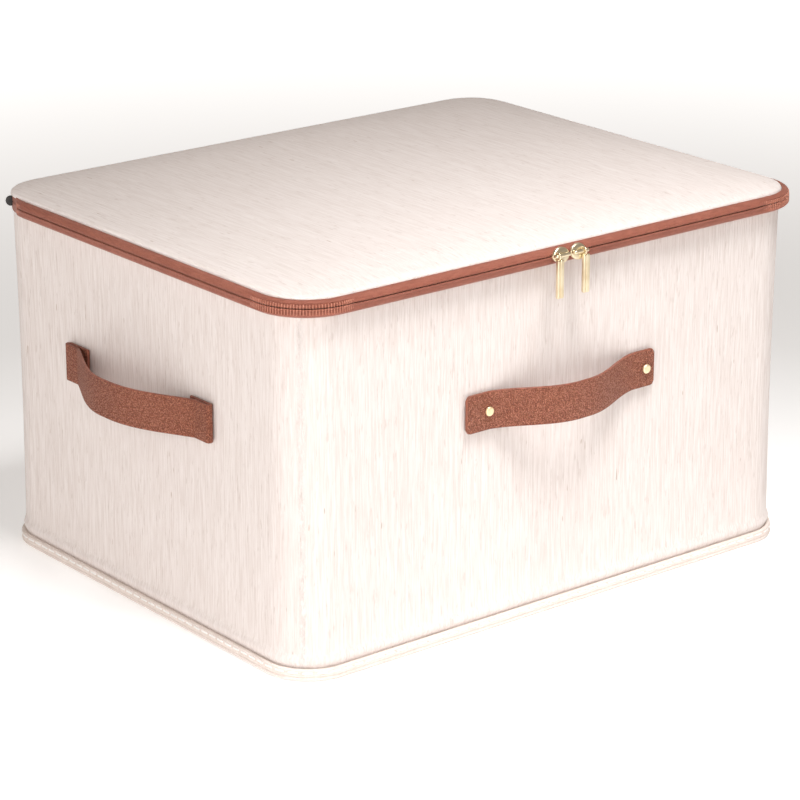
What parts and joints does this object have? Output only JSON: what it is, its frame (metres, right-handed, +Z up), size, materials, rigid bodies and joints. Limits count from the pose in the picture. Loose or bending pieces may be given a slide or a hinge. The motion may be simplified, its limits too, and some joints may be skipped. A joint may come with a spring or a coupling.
{
  "type": "storage bin",
  "caption": "Rectangular stiff-walled fabric storage bin with a padded lid that zips round three sides, hinges at the back and has strap handles on the front and ends.",
  "frame": {"origin": "centre of the underside of the base, where the bin stands on a surface", "axes": "+X to the right along the front, -Y out of the front face with the front handle, +Z up"},
  "size_m": [0.4542, 0.3474, 0.2399],
  "materials": {
    "linen": "woven, matt",
    "lining": "non-woven, matt",
    "binding": "woven, matt",
    "board": "pressed paper board, matt",
    "foam": "soft wadding",
    "zip_tape": "woven tape, matt",
    "zip_coil": "satin",
    "stop": "matt",
    "strap": "pebbled, satin",
    "gold": "polished"
  },
  "bodies": {
    "bin": {"outer_shell": "linen", "front_board": "board", "back_board": "board", "left_board": "board", "right_board": "board", "wall_lining": "lining", "rim_binding": "lining", "base_cover": "lining", "base_board": "board", "base_lining": "lining", "base_binding": "binding", "lower_tape": "zip_tape", "lower_coil": "zip_coil", "hinge_tape_lower": "zip_tape", "hinge_fold": "zip_tape", "zip_stop_left": "stop", "zip_stop_right": "stop", "front_handle": "strap", "left_handle": "strap", "right_handle": "strap", "front_rivet_left": "gold", "front_rivet_right": "gold", "front_rivet_washers": "gold", "left_rivet_left": "gold", "left_rivet_right": "gold", "left_rivet_washers": "gold", "right_rivet_left": "gold", "right_rivet_right": "gold", "right_rivet_washers": "gold"},
    "lid": {"lid_cover": "linen", "lid_padding": "foam", "lid_binding": "lining", "lid_board": "board", "lid_lining": "lining", "upper_tape": "zip_tape", "upper_coil": "zip_coil", "hinge_tape_upper": "zip_tape", "lid_stop_left": "stop", "lid_stop_right": "stop"},
    "left_slider": {"slider_left_body": "gold", "slider_left_bail": "gold"},
    "right_slider": {"slider_right_body": "gold", "slider_right_bail": "gold"},
    "left_pull": {"pull_left": "gold"},
    "right_pull": {"pull_right": "gold"}
  },
  "joints": [
    {"name": "lid_hinge", "type": "hinge", "parent": "bin", "child": "lid", "pos_m": [0, 0.16345, 0.2309], "axis": [-1, 0, 0], "range_deg": [0, 220], "deforming": ["hinge_fold"]},
    {"name": "left_slider_slide", "type": "slide", "parent": "bin", "child": "left_slider", "axis": [1, 0, 0], "range_m": [-0.154, 0]},
    {"name": "right_slider_slide", "type": "slide", "parent": "bin", "child": "right_slider", "axis": [1, 0, 0], "range_m": [0, 0.159]},
    {"name": "left_pull_swing", "type": "hinge", "parent": "left_slider", "child": "left_pull", "pos_m": [-0.0127, -0.1707, 0.2319], "axis": [-1, 0, 0], "range_deg": [0, 180]},
    {"name": "right_pull_swing", "type": "hinge", "parent": "right_slider", "child": "right_pull", "pos_m": [0.0079, -0.1707, 0.2319], "axis": [-1, 0, 0], "range_deg": [0, 180]}
  ]
}
